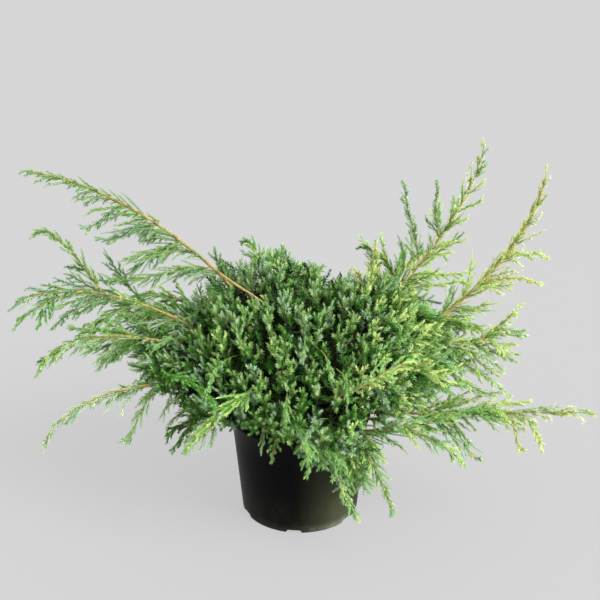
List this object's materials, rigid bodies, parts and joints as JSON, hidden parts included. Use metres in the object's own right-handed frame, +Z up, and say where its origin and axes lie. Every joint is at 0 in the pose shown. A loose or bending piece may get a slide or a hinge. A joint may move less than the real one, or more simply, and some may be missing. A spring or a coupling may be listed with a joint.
{
  "type": "potted juniper",
  "caption": "Low spreading evergreen shrub: a dense domed crown of blue-green needle sprays and long arching whips, in a round black nursery pot of compost.",
  "frame": {"origin": "centre of the pot's flat underside, where it stands on the ground", "axes": "+Z up; -Y is the front, towards the picture's camera; +X is to the right in the picture, along the plant's longest spread"},
  "size_m": [0.7538, 0.4771, 0.5055],
  "materials": {
    "pot_plastic": "satin",
    "compost": "matte",
    "bark": "matte",
    "needles_whip": "matte",
    "needles_crown": "matte"
  },
  "bodies": {
    "root": {"bough_back_left": "bark", "bough_back_low": "bark", "bough_back_mid": "bark", "bough_back_right": "bark", "bough_front_drop": "bark", "bough_front_hang": "bark", "bough_front_left": "bark", "bough_front_right": "bark", "bough_high_left": "bark", "bough_left_back": "bark", "bough_left_droop": "bark", "bough_left_long": "bark", "bough_left_low": "bark", "bough_left_skirt": "bark", "bough_right_arm": "bark", "bough_right_back": "bark", "bough_right_high": "bark", "bough_right_level": "bark", "bough_right_long": "bark", "bough_right_low": "bark", "bough_right_mid": "bark", "bough_right_outer": "bark", "compost": "compost", "foliage_back_left": "needles_whip", "foliage_back_low": "needles_whip", "foliage_back_mid": "needles_whip", "foliage_back_right": "needles_whip", "foliage_crown_back_left": "needles_crown", "foliage_crown_back_right": "needles_crown", "foliage_crown_front_left": "needles_crown", "foliage_crown_front_right": "needles_crown", "foliage_crown_top": "needles_crown", "foliage_front_drop": "needles_whip", "foliage_front_hang": "needles_whip", "foliage_front_left": "needles_whip", "foliage_front_right": "needles_whip", "foliage_high_left": "needles_whip", "foliage_left_back": "needles_whip", "foliage_left_droop": "needles_whip", "foliage_left_long": "needles_whip", "foliage_left_low": "needles_whip", "foliage_left_skirt": "needles_whip", "foliage_right_arm": "needles_whip", "foliage_right_back": "needles_whip", "foliage_right_high": "needles_whip", "foliage_right_level": "needles_whip", "foliage_right_long": "needles_whip", "foliage_right_low": "needles_whip", "foliage_right_mid": "needles_whip", "foliage_right_outer": "needles_whip", "foliage_skirt_back_left": "needles_crown", "foliage_skirt_back_right": "needles_crown", "foliage_skirt_front": "needles_crown", "foliage_skirt_front_left": "needles_crown", "foliage_skirt_front_right": "needles_crown", "foliage_skirt_left": "needles_crown", "foliage_skirt_right": "needles_crown", "pot": "pot_plastic", "stem": "bark"}
  },
  "joints": []
}
